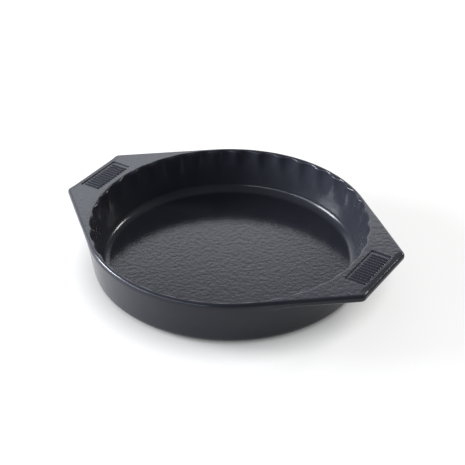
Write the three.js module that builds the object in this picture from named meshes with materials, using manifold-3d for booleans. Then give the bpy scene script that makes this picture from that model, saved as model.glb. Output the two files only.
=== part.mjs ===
// Ceramic pie dish: a round bowl with a fluted inner wall, two flat lug handles that each hold
// a ribbed grip plate, and a bare foot ring underneath.
// Millimetres, +Z up. The origin is on the table under the middle of the dish; X runs along the handles.

import * as THREE from 'three';
import { mergeVertices } from 'three/addons/utils/BufferGeometryUtils.js';
import Module from 'manifold-3d';

// Bowl
const RIM_RADIUS = 135; // outside of the rim
const HEIGHT = 47.5; // table to the top of the rim
const WALL_FLARE = 5; // how far the rim stands out past the base
const BASE_CORNER = 9; // round between the outer wall and the underside
const FLOOR_THICKNESS = 4; // underside to floor
const FLOOR_MARGIN = 16.2; // outside of the base in to the flat of the floor
const FLOOR_FILLET = 9.5; // round between the floor and the inner wall
const RIM_ROUND = 2.4; // outer edge of the rim
const LIP_ROUND = 2; // inner edge of the rim
const LIP_LAND = 0.4; // flat of the rim between that round and the seat of a handle

// Flutes on the inner wall
const FLUTE_COUNT = 36;
const FLUTE_DEPTH = 2; // ridge to hollow, at the rim
const FLUTE_LENGTH = 27; // from the rim down to where the wall is plain

// Foot ring
const FOOT_HEIGHT = 0.8; // table to the underside of the bowl
const FOOT_INSET = 4; // round of the base in to the outside of the ring
const FOOT_WIDTH = 9;
const FOOT_SEAT = 1.2; // how far the ring is let into the underside
const FOOT_CHAMFER = 0.5;

// Handles
const HANDLE_REACH = 28.5; // how far a handle stands out past the rim
const HANDLE_END_WIDTH = 85; // along the straight outer edge
const HANDLE_CORNER = 6.5; // corner radius, seen from above
const HANDLE_THICKNESS = 7.3;
const HANDLE_ROUND = 3; // top and bottom edges
const HANDLE_EDGE = 0.3; // least flat left between those two rounds
const HANDLE_SEAT = 2; // how far a handle is let into the rim

// Grip plates
const RECESS_BORDER = 6.5; // outer edge of the handle in to the recess
const RECESS_LAND = 1; // outside of the rim out to the recess
const RECESS_SIDE = 16; // each end of the outer edge in to the recess
const RECESS_CORNER = 1.5;
const PLATE_THICKNESS = 0.8;
const RIB_HEIGHT = 1; // rises to the top of the handle
const RIB_WIDTH = 1.9;
const RIB_GAP = 2;
const RIB_MARGIN = 2; // edge of the plate to the ribs

// Fit between neighbouring pieces
const CLEARANCE = 0.3;

// Fineness of the curved faces
const STEPS_PER_FLUTE = 4;
const WALL_STEPS = 5;
const ROUND_STEPS = 3;
const FILLET_STEPS = 5;
const CORNER_STEPS = 1; // two faces to a quarter turn
const MERGE_DISTANCE = 1e-4;
const OVERCUT = 2; // how far a cutting shape runs past the face it cuts

// Sizes that follow from the ones above
const baseRadius = RIM_RADIUS - WALL_FLARE;
const seatRadius = RIM_RADIUS - HANDLE_SEAT;
const mouthRadius = seatRadius - LIP_LAND - LIP_ROUND - FLUTE_DEPTH / 2; // midway through a flute
const floorRadius = baseRadius - FLOOR_MARGIN;
const floorHeight = FOOT_HEIGHT + FLOOR_THICKNESS;
const rimRound = Math.min(RIM_ROUND, HANDLE_SEAT + LIP_LAND);
const footOuter = baseRadius - BASE_CORNER - FOOT_INSET;
const footInner = footOuter - FOOT_WIDTH;
const handleEnd = RIM_RADIUS + HANDLE_REACH;
const handleUnderside = HEIGHT - HANDLE_THICKNESS;
const handleRound = Math.min(HANDLE_ROUND, (HANDLE_THICKNESS - HANDLE_EDGE) / 2);
const recessDepth = CLEARANCE + PLATE_THICKNESS + RIB_HEIGHT;
const recessWidth = HANDLE_REACH - RECESS_BORDER - RECESS_LAND;
const recessLength = HANDLE_END_WIDTH - 2 * RECESS_SIDE;
const recessCentre = handleEnd - RECESS_BORDER - recessWidth / 2;
const fluteSegments = FLUTE_COUNT * STEPS_PER_FLUTE;
const plainSegments = fluteSegments / 2;

const wasm = await Module();
wasm.setup();

// Closed solid of a geometry, ready to be joined or cut
function solidOf(geometry) {
  geometry.deleteAttribute('normal');
  geometry.deleteAttribute('uv');
  const merged = mergeVertices(geometry, MERGE_DISTANCE);
  const corners = merged.index.array;
  const triangles = [];
  for (let i = 0; i < corners.length; i += 3) {
    const [a, b, c] = corners.slice(i, i + 3);
    if (a !== b && b !== c && c !== a) triangles.push(a, b, c);
  }
  const vertProperties = new Float32Array(merged.attributes.position.array);
  const triVerts = new Uint32Array(triangles);
  return new wasm.Manifold(new wasm.Mesh({ numProp: 3, vertProperties, triVerts }));
}

// Geometry of a finished solid
function geometryOf(solid) {
  const { vertProperties, triVerts } = solid.getMesh();
  const geometry = new THREE.BufferGeometry();
  geometry.setAttribute('position', new THREE.BufferAttribute(vertProperties, 3));
  geometry.setIndex(new THREE.BufferAttribute(triVerts, 1));
  geometry.computeVertexNormals();
  return geometry;
}

// Body of revolution about Z, from [radius, height] points
function turned(points, segments) {
  const profile = points.map(([radius, height]) => new THREE.Vector2(radius, height));
  return new THREE.LatheGeometry(profile, segments).rotateX(Math.PI / 2);
}

// Cylinder about Z between two heights
function cylinder(radius, low, high) {
  return turned([[0, low], [radius, low], [radius, high], [0, high]], plainSegments);
}

// Prism of a shape seen from above, between two heights
function prism(shape, low, high) {
  const options = { depth: high - low, curveSegments: CORNER_STEPS, bevelEnabled: false };
  return new THREE.ExtrudeGeometry(shape, options).translate(0, 0, low);
}

// Points of an arc from one angle to another, in radians
function arc([x, y], radius, from, to, steps) {
  return Array.from({ length: steps + 1 }, (_, i) => {
    const angle = from + ((to - from) * i) / steps;
    return [x + radius * Math.cos(angle), y + radius * Math.sin(angle)];
  });
}

// Direction square to the line that touches two circles, on their right as seen from the first to the second.
// A negative radius puts that circle on the other side of the line.
function tangentAngle([x1, y1], radius1, [x2, y2], radius2) {
  const distance = Math.hypot(x2 - x1, y2 - y1);
  return Math.atan2(y2 - y1, x2 - x1) - Math.acos((radius1 - radius2) / distance);
}

// Rounded rectangle about a centre on the X axis
function roundedRectangle(centre, width, length, corner) {
  const x = width / 2 - corner;
  const y = length / 2 - corner;
  const shape = new THREE.Shape();
  shape.absarc(centre + x, y, corner, 0, Math.PI / 2);
  shape.absarc(centre - x, y, corner, Math.PI / 2, Math.PI);
  shape.absarc(centre - x, -y, corner, Math.PI, 1.5 * Math.PI);
  shape.absarc(centre + x, -y, corner, 1.5 * Math.PI, 2 * Math.PI);
  return shape;
}

// Outside of the bowl, filled up to the top of the rim
function bowlOutside() {
  const corner = [baseRadius - BASE_CORNER, FOOT_HEIGHT + BASE_CORNER];
  const rim = [RIM_RADIUS - rimRound, HEIGHT - rimRound];
  const wall = tangentAngle(corner, BASE_CORNER, rim, rimRound);
  const grooveTop = FOOT_HEIGHT + FOOT_SEAT;
  return turned([
    [0, FOOT_HEIGHT],
    [footInner - CLEARANCE, FOOT_HEIGHT],
    [footInner - CLEARANCE, grooveTop],
    [footOuter + CLEARANCE, grooveTop],
    [footOuter + CLEARANCE, FOOT_HEIGHT],
    ...arc(corner, BASE_CORNER, -Math.PI / 2, wall, FILLET_STEPS),
    ...arc(rim, rimRound, wall, Math.PI / 2, ROUND_STEPS),
    [0, HEIGHT],
  ], plainSegments);
}

// Share of the full flute depth at a height: all of it at the rim, none below the flutes
function fluteFade(height) {
  return THREE.MathUtils.smoothstep(height, HEIGHT - FLUTE_LENGTH, HEIGHT);
}

// Space inside the bowl, with its wall pushed in and out by the flutes
function bowlHollow() {
  const fillet = [floorRadius, floorHeight + FLOOR_FILLET];
  const lip = [mouthRadius + LIP_ROUND, HEIGHT - LIP_ROUND];
  const wall = tangentAngle(fillet, FLOOR_FILLET, lip, -LIP_ROUND);
  const bottom = arc(fillet, FLOOR_FILLET, -Math.PI / 2, wall, FILLET_STEPS);
  const top = arc(lip, LIP_ROUND, Math.PI + wall, Math.PI / 2, ROUND_STEPS - 1);
  const [lowRadius, lowHeight] = bottom.at(-1);
  const [highRadius, highHeight] = top[0];
  const between = Array.from({ length: WALL_STEPS - 1 }, (_, i) => {
    const share = (i + 1) / WALL_STEPS;
    return [
      THREE.MathUtils.lerp(lowRadius, highRadius, share),
      THREE.MathUtils.lerp(lowHeight, highHeight, share),
    ];
  });
  const geometry = turned([
    [0, floorHeight],
    ...bottom,
    ...between,
    ...top,
    [lip[0], HEIGHT + OVERCUT],
    [0, HEIGHT + OVERCUT],
  ], fluteSegments);
  const position = geometry.attributes.position;
  for (let i = 0; i < position.count; i += 1) {
    const point = new THREE.Vector3().fromBufferAttribute(position, i);
    const radius = Math.hypot(point.x, point.y);
    if (radius < floorRadius) continue; // flat of the floor, and the axis
    const wave = -Math.cos(FLUTE_COUNT * Math.atan2(point.y, point.x));
    const shift = (FLUTE_DEPTH / 2) * wave * fluteFade(point.z);
    position.setX(i, point.x * (1 + shift / radius));
    position.setY(i, point.y * (1 + shift / radius));
  }
  return geometry;
}

// Centre of the rounded corner of a handle, on the +Y side
function handleCorner() {
  return [handleEnd - HANDLE_CORNER, HANDLE_END_WIDTH / 2 - HANDLE_CORNER];
}

// Angle from X at which the straight side of a handle leaves the rim
function handleTurn() {
  const [x, y] = handleCorner();
  return -tangentAngle([0, 0], RIM_RADIUS, [x, -y], HANDLE_CORNER);
}

// Wedge about X between two heights that takes in one handle, wider by a margin on each side
function handleWedge(margin, low, high) {
  const turn = handleTurn();
  const apex = -margin / Math.sin(turn);
  const far = 2 * handleEnd;
  const halfWidth = (far - apex) * Math.tan(turn);
  const shape = new THREE.Shape([
    new THREE.Vector2(apex, 0),
    new THREE.Vector2(far, -halfWidth),
    new THREE.Vector2(far, halfWidth),
  ]);
  return prism(shape, low, high);
}

// Rebate in the rim that one handle sits in, turned about Z by an angle
function handleSeat(angle) {
  const low = handleUnderside - CLEARANCE;
  const high = HEIGHT + OVERCUT;
  const wedge = solidOf(handleWedge(CLEARANCE, low, high).rotateZ(angle));
  return wedge.subtract(solidOf(cylinder(seatRadius, low - OVERCUT, high + OVERCUT)));
}

// Slab of a handle, its straight sides run on past the rim and in to the middle of the dish
function handleBlank() {
  const turn = handleTurn();
  const [x, y] = handleCorner();
  const runOn = 2 * handleRound + OVERCUT;
  const sideX = RIM_RADIUS * Math.cos(turn) - runOn * Math.sin(turn);
  const sideY = RIM_RADIUS * Math.sin(turn) + runOn * Math.cos(turn);
  const shape = new THREE.Shape();
  shape.absarc(x, -y, HANDLE_CORNER, -turn, 0);
  shape.absarc(x, y, HANDLE_CORNER, 0, turn);
  shape.lineTo(sideX, sideY);
  shape.lineTo(0, 0);
  shape.lineTo(sideX, -sideY);
  return new THREE.ExtrudeGeometry(shape, {
    depth: HANDLE_THICKNESS - 2 * handleRound,
    curveSegments: ROUND_STEPS,
    bevelThickness: handleRound,
    bevelSize: handleRound,
    bevelOffset: -handleRound,
    bevelSegments: ROUND_STEPS,
  }).translate(0, 0, handleUnderside + handleRound);
}

// Bowl with its hollow and the seats of both handles
function bowlGeometry() {
  return geometryOf(
    solidOf(bowlOutside())
      .subtract(solidOf(bowlHollow()))
      .subtract(handleSeat(0))
      .subtract(handleSeat(Math.PI)),
  );
}

// Handle with its inner face against the rim and the recess for its grip plate
function handleGeometry() {
  const low = handleUnderside - OVERCUT;
  const high = HEIGHT + OVERCUT;
  const recess = roundedRectangle(recessCentre, recessWidth, recessLength, RECESS_CORNER);
  return geometryOf(
    solidOf(handleBlank())
      .intersect(solidOf(handleWedge(0, low, high)))
      .subtract(solidOf(cylinder(seatRadius + CLEARANCE, low, high)))
      .subtract(solidOf(prism(recess, HEIGHT - recessDepth, high))),
  );
}

// Thin tile with a row of round-ended ribs that run across the handle
function gripPlateGeometry() {
  const width = recessWidth - 2 * CLEARANCE;
  const length = recessLength - 2 * CLEARANCE;
  const low = HEIGHT - recessDepth + CLEARANCE;
  const outline = roundedRectangle(recessCentre, width, length, RECESS_CORNER);
  let plate = solidOf(prism(outline, low, low + PLATE_THICKNESS));
  const pitch = RIB_WIDTH + RIB_GAP;
  const spaces = Math.floor((length - 2 * RIB_MARGIN - RIB_WIDTH) / pitch);
  for (let i = 0; i <= spaces; i += 1) {
    const y = (i - spaces / 2) * pitch;
    const rib = roundedRectangle(recessCentre, width - 2 * RIB_MARGIN, RIB_WIDTH, RIB_WIDTH / 2);
    const body = prism(rib, low + PLATE_THICKNESS / 2, HEIGHT).translate(0, y, 0);
    plate = plate.add(solidOf(body));
  }
  return geometryOf(plate);
}

// Ring let into the underside, chamfered where it meets the table
function footRingGeometry() {
  const top = FOOT_HEIGHT + FOOT_SEAT - CLEARANCE;
  return turned([
    [footInner, top],
    [footInner, FOOT_CHAMFER],
    [footInner + FOOT_CHAMFER, 0],
    [footOuter - FOOT_CHAMFER, 0],
    [footOuter, FOOT_CHAMFER],
    [footOuter, top],
    [footInner, top],
  ], plainSegments);
}

// Black satin glaze, and the clay left bare where the dish stands
function glaze() {
  return new THREE.MeshStandardMaterial({ color: 0x17171b, roughness: 0.3, metalness: 0 });
}
function bareClay() {
  return new THREE.MeshStandardMaterial({ color: 0xb7a48c, roughness: 0.85, metalness: 0 });
}

function piece(name, geometry, material) {
  const mesh = new THREE.Mesh(geometry, material);
  mesh.name = name;
  return mesh;
}

const dish = new THREE.Group();
dish.add(piece('bowl', bowlGeometry(), glaze()));
dish.add(piece('foot_ring', footRingGeometry(), bareClay()));
for (const [side, angle] of [['right', 0], ['left', Math.PI]]) {
  const lug = new THREE.Group();
  lug.rotation.z = angle;
  lug.add(piece(`handle_${side}`, handleGeometry(), glaze()));
  lug.add(piece(`grip_plate_${side}`, gripPlateGeometry(), glaze()));
  dish.add(lug);
}

export default dish;
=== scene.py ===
"""Ceramic pie dish in black satin glaze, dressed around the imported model.

Metres, +Z up, X along the two handles, origin on the table under the middle of the dish.
"""
import math

import bpy
import numpy as np
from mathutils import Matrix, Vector


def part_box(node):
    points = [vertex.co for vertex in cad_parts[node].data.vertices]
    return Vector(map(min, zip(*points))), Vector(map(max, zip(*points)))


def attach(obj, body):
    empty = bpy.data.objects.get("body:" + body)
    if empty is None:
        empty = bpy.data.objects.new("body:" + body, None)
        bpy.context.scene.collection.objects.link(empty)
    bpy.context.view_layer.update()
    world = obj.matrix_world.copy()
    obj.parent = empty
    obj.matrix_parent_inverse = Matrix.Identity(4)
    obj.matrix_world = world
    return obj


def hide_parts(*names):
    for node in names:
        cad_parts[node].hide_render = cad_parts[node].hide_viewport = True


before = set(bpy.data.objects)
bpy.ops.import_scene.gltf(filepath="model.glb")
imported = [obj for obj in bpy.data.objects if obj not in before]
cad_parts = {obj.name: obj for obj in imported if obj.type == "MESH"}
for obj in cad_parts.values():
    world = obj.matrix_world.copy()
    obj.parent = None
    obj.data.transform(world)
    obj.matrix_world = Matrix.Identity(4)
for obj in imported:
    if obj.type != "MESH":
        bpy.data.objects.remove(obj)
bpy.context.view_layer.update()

# Bowl
WALL_FLARE = 0.005  # how far the rim stands out past the base
BASE_CORNER = 0.009  # round between the outer wall and the underside
RIM_ROUND = 0.0028  # outer edge of the rim, from its side in to its crest
RIM_SHOULDER = 0.0045  # and from its crest down to the wall
LIP_LAND = 0.0002  # nearly level crest between the outer and the inner round of the rim
LIP_WIDTH = 0.0052  # outside of the rim in to midway through a flute, at the foot of the inner round
LIP_DROP = 0.0022  # how far the inner round comes down
FLOOR_LEVEL = 0.0048
FLOOR_MARGIN = 0.0162  # outside of the base in to the flat of the floor
FLOOR_FILLET = 0.0095  # round between the floor and the inner wall

# Flutes on the inner wall
FLUTE_COUNT = 36
FLUTE_DEPTH = 0.002  # ridge to hollow, at the rim
FLUTE_LENGTH = 0.027  # from the rim down to where the wall is plain
RIDGE_SHARPNESS = 0.12  # share of a second, twice as quick wave that narrows the ridges

# Handles
HANDLE_END_WIDTH = 0.085  # along the straight outer edge
HANDLE_CORNER = 0.0065  # corner radius, seen from above
HANDLE_ROUND = 0.003  # top and bottom edges
HANDLE_FILLET = 0.004  # between the underside of a handle and the wall
ROUND_SHARE = 0.4  # most of a narrow overhang that its fillet or its lower round takes up
NECK_GAP = 0.0004  # plain wall between its last row and the fillet under the handles
NECK_START = 0.001  # overhang at which a handle starts to grow out of the wall
NECK_END = 0.009  # overhang at which it has its full section
STRIP_DROP = 0.0009  # how far the outer strip of a handle slopes down

# Recess in the top of each handle
RECESS_LAND = 0.0003  # grip plate out to the edge of the recess
RECESS_CORNER = 0.0015
RECESS_DEPTH = 0.0014
RECESS_LIP = 0.0004  # how far the round of its edge reaches outwards
RECESS_FOOT = 0.0009  # how far its sloping side reaches inwards
RECESS_MARGIN = 0.0018  # strip with a fine mesh on each side of its edge

# Ribs on the grip plates
PANEL_DEPTH = 0.001  # top of the handle down to the flat between the ribs
RIB_WIDTH = 0.0019
RIB_GAP = 0.002
RIB_MARGIN = 0.002
RIB_INNER_ROUND = 0.00095  # shoulder of a rib, inwards from its outline
RIB_OUTER_ROUND = 0.001  # foot of a rib, outwards from its outline

# Foot ring
FOOT_WIDTH = 0.009
FOOT_ROUND = 0.0007
GLAZE_EDGE = 0.0006  # rounded end of the glaze beside the bare ring

# Steps between the columns of the skin
PLAIN_STEP = 0.0017  # along straight edges
FINE_STEP = 0.00025  # across the ribs and the ends of the recess
CORNER_STEP = 0.0007  # round the corners of the handles
SIDE_STEP = 0.0014  # along the sides of the handles
RIM_STEP = math.radians(0.6)  # round the rim

# Rows of the skin, from the underside round to the floor
UNDERSIDE_SHARES = (0.3, 0.6, 0.85)  # of the way out to the foot ring
GLAZE_EDGE_STEPS = 4
BASE_CORNER_STEPS = 10
WALL_STEPS = 4
HANDLE_FILLET_STEPS = 6
UNDER_HANDLE_SHARES = (0.35, 0.7)  # of the way out under a handle
HANDLE_ROUND_STEPS = 7
HANDLE_SIDE_STEPS = 2
TOP_EDGE_STEPS = 10
STRIP_STEPS = 2  # on the outer strip of a handle
RECESS_EDGE_STEPS = 12
RECESS_STEPS = 4
HANDLE_INNER_STEPS = 3  # between the recess and the rim
LIP_STEPS = 8
FLUTE_STEPS = 18
FLOOR_FILLET_STEPS = 16
FLOOR_SHARES = (0.9, 0.7, 0.45, 0.2)  # of the radius of the floor

# Fineness of the foot ring
FOOT_ROUND_STEPS = 5
FOOT_COLUMNS = 360

# Noise patterns
NOISE_LOW = 0.3  # most of a pattern lies between this value
NOISE_HIGH = 0.7  # and this one

# Glaze: a tone is (place in the pattern, colour), and a roughness lies between two numbers
GLAZE_TONES = [(0.3, (0.014, 0.0142, 0.019)), (0.7, (0.018, 0.0182, 0.024))]
GLAZE_CLOUD = 0.03  # size of the patches in its colour
SHEEN_PATCH = 0.012  # size of the patches in its sheen
SHEEN_ROUGHNESS = (0.66, 0.74)
SHEEN_IOR = 1.5
SHEEN_LEVEL = 0.17
SHEEN_TINT = (0.66, 0.71, 1.0, 1.0)
GLOSS_ROUGHNESS = 0.17
GLOSS_IOR = 1.3
RIPPLE_SIZE = 0.0042
RIPPLE_DEPTH = 0.00015
RIPPLE_ON_SLOPES = 0.25  # share of the ripple where the glaze doesn't lie level
LEVEL_GLAZE = (0.85, 0.99)  # how far it faces upwards where the ripple starts to grow and where it is full
GRAIN_SIZE = 0.0009
GRAIN_DEPTH = 0.000006

# Bare clay
CLAY_TONES = [(0.35, (0.40, 0.31, 0.21)), (0.65, (0.53, 0.42, 0.30))]
CLAY_PATCH = 0.006
CLAY_ROUGHNESS = (0.8, 0.92)
SAND_SIZE = 0.0006
SAND_DEPTH = 0.00012

# Table
TABLE_SIZE = 40.0
TABLE_DROP = 0.0001  # how far it lies under the foot ring
TABLE_COLOUR = (0.37, 0.362, 0.347, 1.0)
TABLE_GLOW = 0.7
TABLE_PAINTED_SHADOW_REACH = 0.03  # how far beside the dish the glow is dimmed, as a painted contact shadow

# Room: a level is (place, brightness), and a place is 0 at the horizon and 1 straight up
ROOM_COLOUR = (0.9, 0.935, 1.0, 1.0)
ROOM_LEVELS = [(0.0, 0.32), (0.5, 0.28), (1.0, 0.4)]
BACKDROP_LEVELS = [
    (0.0, 0.25),
    (0.4, 0.3),
    (0.48, 0.6),
    (0.53, 1.0),
    (0.553, 1.0),
    (0.575, 0.6),
    (0.597, 0.24),
    (0.62, 0.08),
    (0.68, 0.0),
]
BACKDROP_LIGHT = 4.2  # strength of the bright backdrop
BACKDROP_AZIMUTH = 134  # degrees from +X
BACKDROP_TILT = 0.1  # how much higher the backdrop reaches on the left
BACKDROP_SIDES = (0.66, 0.835)  # cosines of the angles at which it starts and is at full strength

# Lamps: name, azimuth and elevation in degrees, width and height, power in watts, colour
LAMP_DISTANCE = 1.5
LAMPS = [
    ("key_softbox", 205, 18, (0.58, 0.46), 29.0, (0.92, 0.955, 1.0)),
    ("strip_softbox", 217, 17, (1.6, 0.36), 18.0, (0.86, 0.92, 1.0)),
    ("front_softbox", 268, 17, (1.0, 0.3), 5.0, (0.9, 0.94, 1.0)),
    ("back_softbox", 67, 30, (0.32, 0.17), 7.0, (1.0, 0.98, 0.95)),
]

# Camera
CAMERA_AZIMUTH = -57.13  # degrees from +X
CAMERA_ELEVATION = 33.58
CAMERA_DISTANCE = 1.1883
CAMERA_AIM = Vector((-0.00495, 0.01245, 0.02375))
CAMERA_LENS = 96.06  # millimetres
CAMERA_SENSOR = 36.0  # millimetres

UP = Vector((0.0, 0.0, 1.0))


# Helpers

def smoothstep(low, high, value):
    """0 below low, 1 above high, with a smooth rise between them."""
    share = np.clip((value - low) / (high - low), 0.0, 1.0)
    return share * share * (3.0 - 2.0 * share)


def blend(first, second, share):
    """Mix of two values or two sets of points."""
    return first + (second - first) * share


def shares(steps):
    """Even shares up to 1, without 0."""
    return np.linspace(0.0, 1.0, steps + 1)[1:]


def quarter_turn(steps):
    """Even angles from 0 up to a right angle."""
    return np.linspace(0.0, math.pi / 2, steps + 1)


def stretch(start, end, step):
    """Even steps from start up to, but without, end."""
    return np.linspace(start, end, max(1, round((end - start) / step)), endpoint=False)


def direction(azimuth, elevation):
    """Unit vector from azimuth and elevation in degrees."""
    around = math.radians(azimuth)
    rise = math.radians(elevation)
    return Vector((math.cos(around) * math.cos(rise), math.sin(around) * math.cos(rise), math.sin(rise)))


def tangent_angle(centre_1, radius_1, centre_2, radius_2):
    """Direction square to the line that touches two circles, on its right from the first to the second."""
    across = centre_2[0] - centre_1[0]
    up = centre_2[1] - centre_1[1]
    return math.atan2(up, across) - math.acos((radius_1 - radius_2) / math.hypot(across, up))


def arc(centre, radius, start, end, steps):
    """Points on an arc, as rows of two numbers."""
    angle = np.linspace(start, end, steps + 1)
    return np.stack([centre[0] + radius * np.cos(angle), centre[1] + radius * np.sin(angle)], axis=1)


def rounded_box_distance(x, y, half_x, half_y, corner):
    """Distance out from a rounded rectangle about the origin, negative inside it."""
    across = np.abs(x) - half_x + corner
    along = np.abs(y) - half_y + corner
    outside = np.hypot(np.maximum(across, 0.0), np.maximum(along, 0.0))
    return outside + np.minimum(np.maximum(across, along), 0.0) - corner


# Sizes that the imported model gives
bowl_low, bowl_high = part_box("bowl")
handle_low, handle_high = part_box("handle_right")
plate_low, plate_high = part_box("grip_plate_right")
foot_low, foot_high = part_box("foot_ring")
rim_radius = bowl_high.y
height = bowl_high.z
underside = bowl_low.z
handle_end = handle_high.x
handle_underside = handle_low.z
foot_outer = foot_high.x

# Sizes that follow from these and from the ones at the top
base_radius = rim_radius - WALL_FLARE
base_corner = (base_radius - BASE_CORNER, underside + BASE_CORNER)
wall_angle = tangent_angle(base_corner, BASE_CORNER, (rim_radius, height - RIM_SHOULDER), 0.0)
neck_level = handle_underside - HANDLE_FILLET - NECK_GAP
mouth_radius = rim_radius - LIP_WIDTH
crest_radius = rim_radius - RIM_ROUND - LIP_LAND
floor_radius = base_radius - FLOOR_MARGIN
foot_inner = foot_outer - FOOT_WIDTH
corner_x = handle_end - HANDLE_CORNER
corner_y = HANDLE_END_WIDTH / 2 - HANDLE_CORNER
corner_reach = math.hypot(corner_x, corner_y)
side_turn = math.atan2(corner_y, corner_x) + math.acos((rim_radius - HANDLE_CORNER) / corner_reach)
side_length = math.sqrt(corner_reach**2 - (rim_radius - HANDLE_CORNER) ** 2)
recess_inner = plate_low.x - RECESS_LAND
recess_outer = plate_high.x + RECESS_LAND
recess_half_length = plate_high.y + RECESS_LAND


# Plan of the dish: columns of the glazed skin, from above

def handle_outline(length):
    """Points and outward directions of a handle's outline, by the length from the middle of its end."""
    turn = np.clip((length - corner_y) / HANDLE_CORNER, 0.0, side_turn)
    outward = np.stack([np.cos(turn), np.sin(turn)], axis=1)
    along = np.stack([-np.sin(turn), np.cos(turn)], axis=1)
    centre = np.stack([np.full_like(length, corner_x), np.minimum(length, corner_y)], axis=1)
    run = np.maximum(length - corner_y - HANDLE_CORNER * side_turn, 0.0)
    return centre + HANDLE_CORNER * outward + run[:, None] * along, outward


def handle_angles(length, even_end, total):
    """Angles round the bowl for those lengths: square to the end of the handle, then fanning out."""
    start = math.asin(even_end / mouth_radius)
    start_slope = 1.0 / (mouth_radius * math.cos(start))
    end_slope = 1.0 / rim_radius
    span = total - even_end
    share = np.clip((length - even_end) / span, 0.0, 1.0)
    fan = start * (2 * share**3 - 3 * share**2 + 1) + side_turn * (3 * share**2 - 2 * share**3)
    fan += span * (start_slope * (share**3 - 2 * share**2 + share) + end_slope * (share**3 - share**2))
    square = np.arcsin(np.minimum(length, even_end) / mouth_radius)
    return np.where(length < even_end, square, fan)


def quarter_columns():
    """Angle, outline point and outward direction of each column in the quarter between +X and +Y."""
    near_end = recess_half_length - RECESS_MARGIN
    past_end = recess_half_length + RECESS_MARGIN
    corner_end = corner_y + HANDLE_CORNER * side_turn
    total = corner_end + side_length
    length = np.concatenate([
        stretch(0.0, near_end, PLAIN_STEP),
        stretch(near_end, past_end, FINE_STEP),
        stretch(past_end, corner_y, PLAIN_STEP),
        stretch(corner_y, corner_end, CORNER_STEP),
        stretch(corner_end, total, SIDE_STEP),
    ])
    outline, outward = handle_outline(length)
    rim = np.append(stretch(side_turn, math.pi / 2, RIM_STEP), math.pi / 2)
    around = np.stack([np.cos(rim), np.sin(rim)], axis=1)
    angle = np.concatenate([handle_angles(length, past_end, total), rim])
    return angle, np.concatenate([outline, rim_radius * around]), np.concatenate([outward, around])


def unfold(quarter, flip):
    """All round the dish from one quarter; flip mirrors a value in X, in Y or in both."""
    return np.concatenate([
        flip(quarter, 1, 1),
        flip(quarter[-2::-1], -1, 1),
        flip(quarter[1:], -1, -1),
        flip(quarter[-2:0:-1], 1, -1),
    ])


class Columns:
    """Columns of the skin all round the dish: their directions, outline points and flute wave."""

    def __init__(self):
        angle, outline, outward = quarter_columns()
        wave = -np.cos(FLUTE_COUNT * angle) - RIDGE_SHARPNESS * np.cos(2 * FLUTE_COUNT * angle)
        radial = np.stack([np.cos(angle), np.sin(angle)], axis=1)
        self.radial = unfold(radial, self.mirrored)
        self.outline = unfold(outline, self.mirrored)
        self.outward = unfold(outward, self.mirrored)
        self.wave = unfold(wave, lambda value, x, y: value)
        self.count = len(self.wave)

    @staticmethod
    def mirrored(points, x, y):
        """Points with the signs of their two numbers kept or turned."""
        return points * np.array([x, y])

    def ring(self, radius, level):
        """Points at one radius and one level, either of which may change from column to column."""
        plan = self.radial * np.broadcast_to(radius, (self.count,))[:, None]
        return self.placed(plan, level)

    def placed(self, plan, level):
        """Points of the plan at one level, or at a level for each column."""
        return np.column_stack([plan, np.broadcast_to(level, (self.count,))])


# Height of the top of the dish

def handle_top(plan):
    """Level of the top: flat, with an outer strip that slopes down and a recess for the grip plate."""
    x = np.abs(plan[:, 0])
    y = np.abs(plan[:, 1])
    slope = np.maximum(x - recess_outer, 0.0) / (handle_end - recess_outer)
    drop = STRIP_DROP * slope * (1.0 - smoothstep(recess_half_length, HANDLE_END_WIDTH / 2, y))
    centre = (recess_inner + recess_outer) / 2
    half_width = (recess_outer - recess_inner) / 2
    edge = rounded_box_distance(x - centre, y, half_width, recess_half_length, RECESS_CORNER)
    recess = RECESS_DEPTH * (1.0 - smoothstep(-RECESS_FOOT, RECESS_LIP, edge))
    return height - drop - recess


# Profile of the dish: rows of the glazed skin, from the underside round to the floor

def wall_radius(level):
    """Radius of the plain outer wall at a level."""
    foot_radius = base_corner[0] + BASE_CORNER * math.cos(wall_angle)
    foot_level = base_corner[1] + BASE_CORNER * math.sin(wall_angle)
    return foot_radius - (level - foot_level) * math.tan(wall_angle)


def underside_rows(columns):
    """Underside, with the shallow seat of the foot ring."""
    seat = underside + GLAZE_EDGE
    inner_end = (foot_inner - GLAZE_EDGE, seat)
    outer_end = (foot_outer + GLAZE_EDGE, seat)
    points = [(share * foot_inner, underside) for share in UNDERSIDE_SHARES]
    points += arc(inner_end, GLAZE_EDGE, -math.pi / 2, 0.0, GLAZE_EDGE_STEPS).tolist()
    points += arc(outer_end, GLAZE_EDGE, -math.pi, -math.pi / 2, GLAZE_EDGE_STEPS).tolist()
    return [columns.ring(radius, level) for radius, level in points]


def outer_wall_rows(columns):
    """Round of the base and the plain wall, up to just under the handles."""
    points = arc(base_corner, BASE_CORNER, -math.pi / 2, wall_angle, BASE_CORNER_STEPS)
    levels = blend(points[-1][1], neck_level, shares(WALL_STEPS))
    rows = [columns.ring(radius, level) for radius, level in points]
    return rows + [columns.ring(wall_radius(level), level) for level in levels]


def overhang(columns):
    """How far the outline stands out past the wall at the underside of the handles."""
    return np.linalg.norm(columns.outline - columns.radial * wall_radius(handle_underside), axis=1)


def handle_share(columns):
    """0 where the rim is plain, 1 where a handle has its full section."""
    return smoothstep(NECK_START, NECK_END, overhang(columns))


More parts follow.
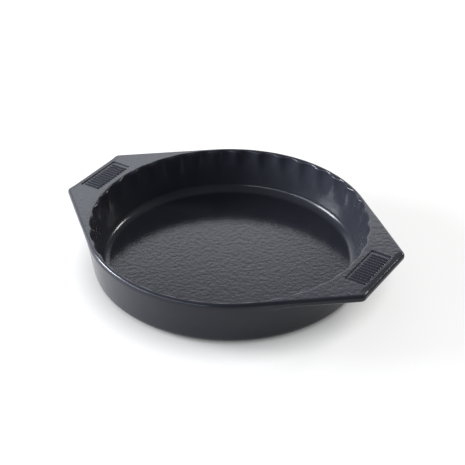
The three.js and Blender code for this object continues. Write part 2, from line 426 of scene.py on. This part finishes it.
def slab_section(columns, top_round):
    """Rows under and beside a handle at its full section: fillet, underside, lower round and side."""
    reach = overhang(columns)
    fillet = np.minimum(HANDLE_FILLET, ROUND_SHARE * reach)
    lower = np.minimum(HANDLE_ROUND, ROUND_SHARE * reach)
    wall = columns.radial * wall_radius(handle_underside)
    way_out = (columns.outline - wall) / reach[:, None]
    rows = []
    for turn in quarter_turn(HANDLE_FILLET_STEPS):
        level = handle_underside - fillet * (1.0 - math.sin(turn))
        plan = columns.radial * wall_radius(level)[:, None]
        rows.append(columns.placed(plan + way_out * (fillet * (1.0 - math.cos(turn)))[:, None], level))
    start = rows[-1][:, :2]
    end = columns.outline - columns.outward * lower[:, None]
    rows += [columns.placed(blend(start, end, share), handle_underside) for share in UNDER_HANDLE_SHARES]
    for turn in quarter_turn(HANDLE_ROUND_STEPS):
        inset = lower * (1.0 - math.sin(turn))
        level = handle_underside + lower * (1.0 - math.cos(turn))
        rows.append(columns.placed(columns.outline - columns.outward * inset[:, None], level))
    side_top = handle_top(columns.outline) - top_round
    side_low = handle_underside + lower
    sides = [blend(side_low, side_top, share) for share in shares(HANDLE_SIDE_STEPS)]
    return rows + [columns.placed(columns.outline, level) for level in sides]


def neck_rows(columns):
    """Rows between the plain wall and the top edge, where the handles grow out of the wall."""
    share = handle_share(columns)
    slab = slab_section(columns, blend(RIM_SHOULDER, HANDLE_ROUND, share))
    levels = blend(neck_level, height - RIM_SHOULDER, shares(len(slab)))
    wall = [columns.ring(wall_radius(level), level) for level in levels]
    return [blend(plain, full, share[:, None]) for plain, full in zip(wall, slab)]


def top_edge_rows(columns):
    """Round of the outer top edge, all the way round the rim and the handles."""
    share = handle_share(columns)
    across = blend(RIM_ROUND, HANDLE_ROUND, share)
    down = blend(RIM_SHOULDER, HANDLE_ROUND, share)
    rows = []
    for turn in quarter_turn(TOP_EDGE_STEPS)[1:]:
        plan = columns.outline - columns.outward * (across * (1.0 - math.cos(turn)))[:, None]
        rows.append(columns.placed(plan, handle_top(plan) - down * (1.0 - math.sin(turn))))
    return rows


def top_rows(columns, start):
    """Top of the handles and the rim, from the start in to the inner round, closest at the recess edges."""
    end = columns.radial * crest_radius
    span = np.abs(start[:, 0] - end[:, 0])
    square = np.abs(columns.outline[:, 1]) < recess_half_length + RECESS_MARGIN
    narrowest = span[square].min()
    width = np.where(square, span, narrowest)
    outer = (handle_end - HANDLE_ROUND - recess_outer) / width
    inner = (handle_end - HANDLE_ROUND - recess_inner) / width
    margin = RECESS_MARGIN / width
    ways = [
        (np.zeros_like(width), outer - margin, STRIP_STEPS),
        (outer - margin, outer + margin, RECESS_EDGE_STEPS),
        (outer + margin, inner - margin, RECESS_STEPS),
        (inner - margin, inner + margin, RECESS_EDGE_STEPS),
        (inner + margin, np.ones_like(width), HANDLE_INNER_STEPS),
    ]
    rows = []
    for low, high, steps in ways:
        for share in shares(steps):
            plan = blend(start, end, blend(low, high, share)[:, None])
            rows.append(columns.placed(plan, handle_top(plan)))
    return rows


def flute_shift(columns, level):
    """How far the flutes push the inner wall out or in at a level."""
    fade = smoothstep(height - FLUTE_LENGTH, height - LIP_DROP, level)
    return FLUTE_DEPTH / 2 * columns.wave * fade


def lip_rows(columns, lean):
    """Inner round of the rim, from the level crest over to the slope of the wall."""
    foot = mouth_radius + flute_shift(columns, height - LIP_DROP)
    bend = foot - LIP_DROP * math.tan(lean)
    rows = []
    for share in shares(LIP_STEPS):
        radius = blend(blend(crest_radius, bend, share), blend(bend, foot, share), share)
        rows.append(columns.ring(radius, height - LIP_DROP * share**2))
    return rows


def inner_rows(columns):
    """Inner round of the rim, fluted wall, fillet and floor."""
    fillet = (floor_radius, FLOOR_LEVEL + FLOOR_FILLET)
    mouth = (mouth_radius, height - LIP_DROP)
    lean = tangent_angle(fillet, FLOOR_FILLET, mouth, 0.0)
    bottom = arc(fillet, FLOOR_FILLET, lean, -math.pi / 2, FLOOR_FILLET_STEPS)
    wall = [blend(np.array(mouth), bottom[0], share) for share in shares(FLUTE_STEPS)[:-1]]
    floor = [(floor_radius * share, FLOOR_LEVEL) for share in FLOOR_SHARES]
    points = [*wall, *bottom, *floor]
    rows = [columns.ring(radius + flute_shift(columns, level), level) for radius, level in points]
    return lip_rows(columns, lean) + rows


# Meshes and pieces

def smooth_mesh(name, points, faces):
    """Mesh with smooth shading."""
    mesh = bpy.data.meshes.new(name)
    mesh.from_pydata(points, [], faces)
    mesh.shade_smooth()
    return mesh


def band(low, high, count):
    """Faces between two rings of so many points, from the number of the first point of each."""
    here = np.arange(count)
    there = np.roll(here, -1)
    return np.stack([low + here, low + there, high + there, high + here], axis=1).tolist()


def skin_mesh(name, rings, low_pole, high_pole):
    """Closed mesh through rings of points, with a point in the middle of the first and of the last ring."""
    count = len(rings[0])
    points = np.concatenate([*rings, [low_pole], [high_pole]])
    here = list(range(count))
    there = here[1:] + here[:1]
    last = (len(rings) - 1) * count
    pole = len(rings) * count
    faces = []
    for row in range(len(rings) - 1):
        faces += band(row * count, (row + 1) * count, count)
    faces += [(pole, b, a) for a, b in zip(here, there)]
    faces += [(pole + 1, last + a, last + b) for a, b in zip(here, there)]
    return smooth_mesh(name, points.tolist(), faces)


def add_piece(mesh, material, nodes):
    """Object that stands for CAD nodes of the dish, with the name of its mesh."""
    piece = bpy.data.objects.new(mesh.name, mesh)
    bpy.context.scene.collection.objects.link(piece)
    mesh.materials.append(material)
    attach(piece, "root")
    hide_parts(*nodes)


def glazed_body(material):
    """The whole glazed dish as one skin: bowl and both handles, with no seams between them."""
    columns = Columns()
    edge = top_edge_rows(columns)
    rings = [
        *underside_rows(columns),
        *outer_wall_rows(columns),
        *neck_rows(columns),
        *edge,
        *top_rows(columns, edge[-1][:, :2]),
        *inner_rows(columns),
    ]
    mesh = skin_mesh("glazed_body", rings, (0.0, 0.0, underside), (0.0, 0.0, FLOOR_LEVEL))
    add_piece(mesh, material, ["bowl", "handle_left", "handle_right"])


# Ribbed grip plates

def rib_share(x, y, half_width, half_length):
    """1 on the top of a rib, 0 on the flat between the ribs; x and y from the middle of the plate."""
    pitch = RIB_WIDTH + RIB_GAP
    spaces = math.floor((2 * (half_length - RIB_MARGIN) - RIB_WIDTH) / pitch)
    number = np.clip(np.round(y / pitch + spaces / 2), 0, spaces)
    beside = y - (number - spaces / 2) * pitch
    straight = half_width - RIB_MARGIN - RIB_WIDTH / 2
    edge = np.hypot(np.maximum(np.abs(x) - straight, 0.0), beside) - RIB_WIDTH / 2
    return 1.0 - smoothstep(-RIB_INNER_ROUND, RIB_OUTER_ROUND, edge)


def plate_mesh(name, low, high):
    """Plate between two corners, with round-ended ribs across it, as a closed mesh."""
    half_width = (high.x - low.x) / 2
    half_length = (high.y - low.y) / 2
    end = RIB_MARGIN + RIB_WIDTH
    across = np.concatenate([
        stretch(-half_width, end - half_width, FINE_STEP),
        stretch(end - half_width, half_width - end, PLAIN_STEP),
        stretch(half_width - end, half_width, FINE_STEP),
        [half_width],
    ])
    along = np.append(stretch(-half_length, half_length, FINE_STEP), half_length)
    x, y = (grid.ravel() for grid in np.meshgrid(across, along))
    top = height - PANEL_DEPTH * (1.0 - rib_share(x, y, half_width, half_length))
    middle = (low + high) / 2
    points = np.column_stack([x + middle.x, y + middle.y, top])
    index = np.arange(len(points)).reshape(len(along), len(across))
    corners = [index[:-1, :-1], index[:-1, 1:], index[1:, 1:], index[1:, :-1]]
    faces = np.stack([corner.ravel() for corner in corners], axis=1).tolist()
    border = np.concatenate([index[0, :-1], index[:-1, -1], index[-1, :0:-1], index[:0:-1, 0]])
    skirt = np.arange(len(border)) + len(points)
    foot = np.column_stack([points[border][:, :2], np.full(len(border), low.z)])
    walls = [skirt, np.roll(skirt, -1), np.roll(border, -1), border]
    faces += np.stack(walls, axis=1).tolist()
    faces.append(skirt[::-1].tolist())
    return smooth_mesh(name, np.concatenate([points, foot]).tolist(), faces)


def grip_plates(material):
    """The two ribbed plates, each in the recess of its handle."""
    for side in ("right", "left"):
        node = f"grip_plate_{side}"
        mesh = plate_mesh(f"ribbed_{node}", *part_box(node))
        add_piece(mesh, material, [node])


# Foot ring

def foot_ring(material):
    """Bare ring under the dish, rounded where it meets the table."""
    top = foot_high.z
    low = foot_low.z + FOOT_ROUND
    inner = arc((foot_inner + FOOT_ROUND, low), FOOT_ROUND, math.pi, 1.5 * math.pi, FOOT_ROUND_STEPS)
    outer = arc((foot_outer - FOOT_ROUND, low), FOOT_ROUND, -math.pi / 2, 0.0, FOOT_ROUND_STEPS)
    section = [(foot_inner, top), *inner, *outer, (foot_outer, top)]
    angle = np.arange(FOOT_COLUMNS) * 2 * math.pi / FOOT_COLUMNS
    around = list(zip(np.cos(angle), np.sin(angle)))
    points = [(radius * x, radius * y, level) for radius, level in section for x, y in around]
    faces = []
    for row in range(len(section)):
        next_row = (row + 1) % len(section)
        faces += band(row * FOOT_COLUMNS, next_row * FOOT_COLUMNS, FOOT_COLUMNS)
    mesh = smooth_mesh("bare_foot_ring", points, faces)
    add_piece(mesh, material, ["foot_ring"])


# Shader nodes

def new_material(name):
    """Empty material, with its node tree and its shader."""
    material = bpy.data.materials.new(name)
    material.use_nodes = True
    tree = material.node_tree
    return material, tree, tree.nodes["Principled BSDF"]


def noise(tree, place, size, detail=2.0):
    """Cloudy pattern whose blots are about one size across."""
    node = tree.nodes.new("ShaderNodeTexNoise")
    node.inputs["Scale"].default_value = 1.0 / size
    node.inputs["Detail"].default_value = detail
    tree.links.new(place, node.inputs["Vector"])
    return node.outputs["Fac"]


def dot_product(tree, way, axis):
    """How far a direction points along an axis."""
    node = tree.nodes.new("ShaderNodeVectorMath")
    node.operation = "DOT_PRODUCT"
    node.inputs[1].default_value = axis
    tree.links.new(way, node.inputs[0])
    return node.outputs["Value"]


def calculate(tree, operation, first, second):
    """Result of a sum on two values, each of them another node's result or a plain number."""
    node = tree.nodes.new("ShaderNodeMath")
    node.operation = operation
    for socket, value in zip(node.inputs, (first, second)):
        if isinstance(value, bpy.types.NodeSocket):
            tree.links.new(value, socket)
        else:
            socket.default_value = value
    return node.outputs["Value"]


def spread(tree, value, low, high, start=NOISE_LOW, end=NOISE_HIGH):
    """Value between start and end, stretched to run from low to high."""
    node = tree.nodes.new("ShaderNodeMapRange")
    node.inputs["From Min"].default_value = start
    node.inputs["From Max"].default_value = end
    node.inputs["To Min"].default_value = low
    node.inputs["To Max"].default_value = high
    tree.links.new(value, node.inputs["Value"])
    return node.outputs["Result"]


def tones(tree, value, stops):
    """Colours along a value, from (place, colour) stops in rising order."""
    node = tree.nodes.new("ShaderNodeValToRGB")
    elements = node.color_ramp.elements
    elements[0].position = stops[0][0]
    elements[1].position = stops[-1][0]
    for place, _ in stops[1:-1]:
        elements.new(place)
    for element, (_, colour) in zip(elements, stops):
        element.color = (*colour, 1.0)
    tree.links.new(value, node.inputs["Fac"])
    return node.outputs["Color"]


def greys(tree, value, stops):
    """Brightness along a value, from (place, brightness) stops in rising order."""
    return tones(tree, value, [(place, (level, level, level)) for place, level in stops])


def bump(tree, value, depth, under=None):
    """Relief of a pattern, up to a depth, on top of another relief if one is given."""
    node = tree.nodes.new("ShaderNodeBump")
    node.inputs["Distance"].default_value = depth
    tree.links.new(value, node.inputs["Height"])
    if under is not None:
        tree.links.new(under, node.inputs["Normal"])
    return node.outputs["Normal"]


# Materials

def glaze_material():
    """Black satin glaze: a clear gloss over a bluish sheen, with a ripple mostly where it lies level."""
    material, tree, shader = new_material("black_satin_glaze")
    coordinates = tree.nodes.new("ShaderNodeTexCoord").outputs
    place = coordinates["Object"]
    cloud = noise(tree, place, GLAZE_CLOUD, detail=3.0)
    tree.links.new(tones(tree, cloud, GLAZE_TONES), shader.inputs["Base Color"])
    patches = noise(tree, place, SHEEN_PATCH, detail=4.0)
    tree.links.new(spread(tree, patches, *SHEEN_ROUGHNESS), shader.inputs["Roughness"])
    level = dot_product(tree, coordinates["Normal"], UP)
    ripple = bump(tree, noise(tree, place, RIPPLE_SIZE), RIPPLE_DEPTH)
    strength = spread(tree, level, RIPPLE_ON_SLOPES, 1.0, *LEVEL_GLAZE)
    tree.links.new(strength, ripple.node.inputs["Strength"])
    grain = bump(tree, noise(tree, place, GRAIN_SIZE, detail=3.0), GRAIN_DEPTH, under=ripple)
    tree.links.new(grain, shader.inputs["Normal"])
    tree.links.new(grain, shader.inputs["Coat Normal"])
    shader.inputs["IOR"].default_value = SHEEN_IOR
    shader.inputs["Specular IOR Level"].default_value = SHEEN_LEVEL
    shader.inputs["Specular Tint"].default_value = SHEEN_TINT
    shader.inputs["Coat Weight"].default_value = 1.0
    shader.inputs["Coat IOR"].default_value = GLOSS_IOR
    shader.inputs["Coat Roughness"].default_value = GLOSS_ROUGHNESS
    return material


def clay_material():
    """Bare fired stoneware: warm, matte and sandy, with darker patches."""
    material, tree, shader = new_material("bare_stoneware")
    place = tree.nodes.new("ShaderNodeTexCoord").outputs["Object"]
    cloud = noise(tree, place, CLAY_PATCH, detail=4.0)
    tree.links.new(tones(tree, cloud, CLAY_TONES), shader.inputs["Base Color"])
    tree.links.new(spread(tree, cloud, *CLAY_ROUGHNESS), shader.inputs["Roughness"])
    sand = noise(tree, place, SAND_SIZE, detail=4.0)
    tree.links.new(bump(tree, sand, SAND_DEPTH), shader.inputs["Normal"])
    return material


def table_material():
    """White paper that also glows, to the eye and in reflections, with a painted contact shadow that dims
    its glow beside the dish.
    """
    material, tree, shader = new_material("white_floor")
    shader.inputs["Base Color"].default_value = TABLE_COLOUR
    shader.inputs["Roughness"].default_value = 1.0
    shader.inputs["Specular IOR Level"].default_value = 0.0
    path = tree.nodes.new("ShaderNodeLightPath").outputs
    seen = calculate(tree, "MAXIMUM", path["Is Camera Ray"], path["Is Glossy Ray"])
    seen = calculate(tree, "MAXIMUM", seen, path["Is Transmission Ray"])
    # Painted contact shadow: ambient occlusion dims the floor's glow close to the dish.
    painted_contact_shadow = tree.nodes.new("ShaderNodeAmbientOcclusion")
    painted_contact_shadow.inputs["Distance"].default_value = TABLE_PAINTED_SHADOW_REACH
    glow_with_painted_shadow = calculate(tree, "MULTIPLY", painted_contact_shadow.outputs["AO"], TABLE_GLOW)
    shader.inputs["Emission Color"].default_value = (1.0, 1.0, 1.0, 1.0)
    tree.links.new(calculate(tree, "MULTIPLY", seen, glow_with_painted_shadow), shader.inputs["Emission Strength"])
    return material


# Studio

def studio_floor():
    """Wide white table under the dish."""
    half = TABLE_SIZE / 2
    corners = [(-half, -half), (half, -half), (half, half), (-half, half)]
    mesh = bpy.data.meshes.new("studio_floor")
    mesh.from_pydata([(x, y, -TABLE_DROP) for x, y in corners], [], [(0, 1, 2, 3)])
    mesh.materials.append(table_material())
    floor = bpy.data.objects.new("studio_floor", mesh)
    bpy.context.scene.collection.objects.link(floor)


def studio_world():
    """Pale room with a backdrop behind the dish that is brightest a third of the way up, then fades."""
    world = bpy.data.worlds.new("studio")
    world.use_nodes = True
    bpy.context.scene.world = world
    tree = world.node_tree
    way = tree.nodes.new("ShaderNodeTexCoord").outputs["Generated"]
    left = direction(BACKDROP_AZIMUTH + 90, 0)
    rise = dot_product(tree, way, UP - BACKDROP_TILT * left)
    ahead = dot_product(tree, way, direction(BACKDROP_AZIMUTH, 0))
    strength = spread(tree, ahead, 0.0, BACKDROP_LIGHT, *BACKDROP_SIDES)
    strength.node.interpolation_type = "SMOOTHSTEP"
    backdrop = calculate(tree, "MULTIPLY", greys(tree, rise, BACKDROP_LEVELS), strength)
    room = greys(tree, dot_product(tree, way, UP), ROOM_LEVELS)
    background = tree.nodes["Background"]
    background.inputs["Color"].default_value = ROOM_COLOUR
    tree.links.new(calculate(tree, "ADD", backdrop, room), background.inputs["Strength"])


def softbox(name, azimuth, elevation, size, power, colour):
    """Rectangular area lamp that faces the dish."""
    lamp = bpy.data.lights.new(name, "AREA")
    lamp.shape = "RECTANGLE"
    lamp.size, lamp.size_y = size
    lamp.energy = power
    lamp.color = colour
    way = direction(azimuth, elevation)
    piece = bpy.data.objects.new(name, lamp)
    piece.location = way * LAMP_DISTANCE
    piece.rotation_euler = way.to_track_quat("Z", "Y").to_euler()
    bpy.context.scene.collection.objects.link(piece)


def photo_camera():
    """Camera at the photo's viewing angle."""
    back = direction(CAMERA_AZIMUTH, CAMERA_ELEVATION)
    data = bpy.data.cameras.new("camera")
    data.sensor_width = CAMERA_SENSOR
    data.lens = CAMERA_LENS
    piece = bpy.data.objects.new("camera", data)
    piece.location = CAMERA_AIM + back * CAMERA_DISTANCE
    piece.rotation_euler = back.to_track_quat("Z", "Y").to_euler()
    bpy.context.scene.collection.objects.link(piece)
    bpy.context.scene.camera = piece


bpy.context.scene.view_settings.view_transform = "Standard"
photo_camera()
glaze = glaze_material()
glazed_body(glaze)
grip_plates(glaze)
foot_ring(clay_material())
studio_floor()
studio_world()
for lamp in LAMPS:
    softbox(*lamp)
